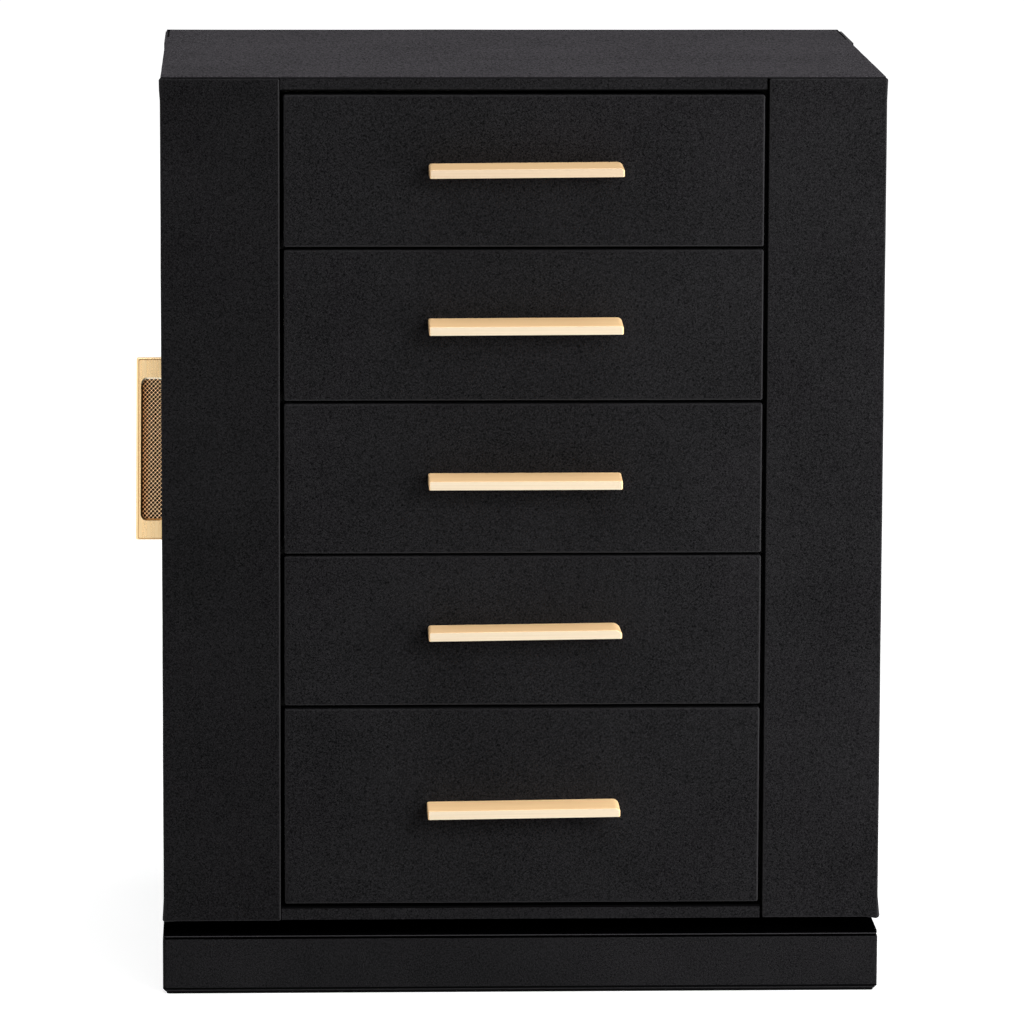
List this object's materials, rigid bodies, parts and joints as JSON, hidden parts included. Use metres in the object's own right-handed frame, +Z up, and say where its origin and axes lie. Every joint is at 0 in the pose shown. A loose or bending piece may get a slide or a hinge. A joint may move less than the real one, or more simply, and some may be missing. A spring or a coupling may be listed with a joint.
{
  "type": "rotating jewelry box",
  "caption": "Upright black leatherette jewelry cabinet on a turntable plinth, with stacked front drawers, hinged side doors for necklaces and slim gold bar pulls.",
  "frame": {"origin": "on the spin axis, in the flat face that the plinth rests on", "axes": "+Z up along the spin axis, -Y out of the drawer fronts, +X to the right when facing the drawers"},
  "size_m": [0.3056, 0.227, 0.3607],
  "materials": {
    "black_leatherette": "fine pebbled black leatherette glued over board, low sheen",
    "champagne_gold": "polished champagne gold plating",
    "velvet_lining": "short-pile warm grey velvet",
    "black_board": "black paper-faced fibreboard, matte",
    "black_felt": "thin black felt",
    "zinc_steel": "zinc-plated steel",
    "ball_steel": "polished bearing steel",
    "nickel_magnet": "bright nickel plating"
  },
  "bodies": {
    "base": {"base_frame": "black_leatherette", "base_lid_board": "black_leatherette", "base_bottom_pad": "black_felt", "turntable_lower_plate": "zinc_steel", "turntable_rivet": "zinc_steel", "lower_plate_screws": "zinc_steel"},
    "ball_cage": {"turntable_ball_cage": "zinc_steel", "turntable_balls": "ball_steel"},
    "cabinet": {"turntable_upper_plate": "zinc_steel", "upper_plate_screws": "zinc_steel", "bottom_board": "black_leatherette", "top_board": "black_leatherette", "top_cover": "black_leatherette", "back_board": "black_leatherette", "left_inner_wall": "black_board", "right_inner_wall": "black_board", "left_front_stile": "black_leatherette", "right_front_stile": "black_leatherette", "left_rear_post": "black_leatherette", "right_rear_post": "black_leatherette", "drawer_shelves": "black_board", "door_pivot_pins": "zinc_steel", "door_magnets": "nickel_magnet"},
    "left_door": {"left_door_panel": "black_leatherette", "left_door_pull": "champagne_gold", "left_door_pull_screws": "zinc_steel", "left_door_strike_discs": "zinc_steel", "left_necklace_hook_rail": "champagne_gold", "left_door_pocket": "velvet_lining"},
    "right_door": {"right_door_panel": "black_leatherette", "right_door_pull": "champagne_gold", "right_door_pull_screws": "zinc_steel", "right_door_strike_discs": "zinc_steel", "right_necklace_hook_rail": "champagne_gold", "right_door_pocket": "velvet_lining"},
    "drawer_1": {"drawer_1_front": "black_leatherette", "drawer_1_tray": "velvet_lining", "drawer_1_pull": "champagne_gold", "drawer_1_pull_screws": "zinc_steel", "drawer_1_ring_rolls": "velvet_lining"},
    "drawer_2": {"drawer_2_front": "black_leatherette", "drawer_2_tray": "velvet_lining", "drawer_2_pull": "champagne_gold", "drawer_2_pull_screws": "zinc_steel", "drawer_2_divider": "velvet_lining"},
    "drawer_3": {"drawer_3_front": "black_leatherette", "drawer_3_tray": "velvet_lining", "drawer_3_pull": "champagne_gold", "drawer_3_pull_screws": "zinc_steel", "drawer_3_divider": "velvet_lining"},
    "drawer_4": {"drawer_4_front": "black_leatherette", "drawer_4_tray": "velvet_lining", "drawer_4_pull": "champagne_gold", "drawer_4_pull_screws": "zinc_steel", "drawer_4_divider": "velvet_lining"},
    "drawer_5": {"drawer_5_front": "black_leatherette", "drawer_5_tray": "velvet_lining", "drawer_5_pull": "champagne_gold", "drawer_5_pull_screws": "zinc_steel"}
  },
  "joints": [
    {"name": "cabinet_spin", "type": "hinge", "parent": "base", "child": "cabinet", "pos_m": [0, 0, 0.02675], "axis": [0, 0, 1], "continuous": true},
    {"name": "ball_cage_spin", "type": "hinge", "parent": "base", "child": "ball_cage", "pos_m": [0, 0, 0.02675], "axis": [0, 0, 1], "continuous": true},
    {"name": "left_door_hinge", "type": "hinge", "parent": "cabinet", "child": "left_door", "pos_m": [-0.1355, -0.0917, 0.19498], "axis": [0, 0, 1], "range_deg": [0, 90]},
    {"name": "right_door_hinge", "type": "hinge", "parent": "cabinet", "child": "right_door", "pos_m": [0.1355, -0.0917, 0.19498], "axis": [0, 0, -1], "range_deg": [0, 90]},
    {"name": "drawer_1_slide", "type": "slide", "parent": "cabinet", "child": "drawer_1", "axis": [0, -1, 0], "range_m": [0, 0.15]},
    {"name": "drawer_2_slide", "type": "slide", "parent": "cabinet", "child": "drawer_2", "axis": [0, -1, 0], "range_m": [0, 0.15]},
    {"name": "drawer_3_slide", "type": "slide", "parent": "cabinet", "child": "drawer_3", "axis": [0, -1, 0], "range_m": [0, 0.15]},
    {"name": "drawer_4_slide", "type": "slide", "parent": "cabinet", "child": "drawer_4", "axis": [0, -1, 0], "range_m": [0, 0.15]},
    {"name": "drawer_5_slide", "type": "slide", "parent": "cabinet", "child": "drawer_5", "axis": [0, -1, 0], "range_m": [0, 0.15]}
  ],
  "couplings": [
    {"joint": "ball_cage_spin", "follows": "cabinet_spin", "ratio": 0.5}
  ]
}
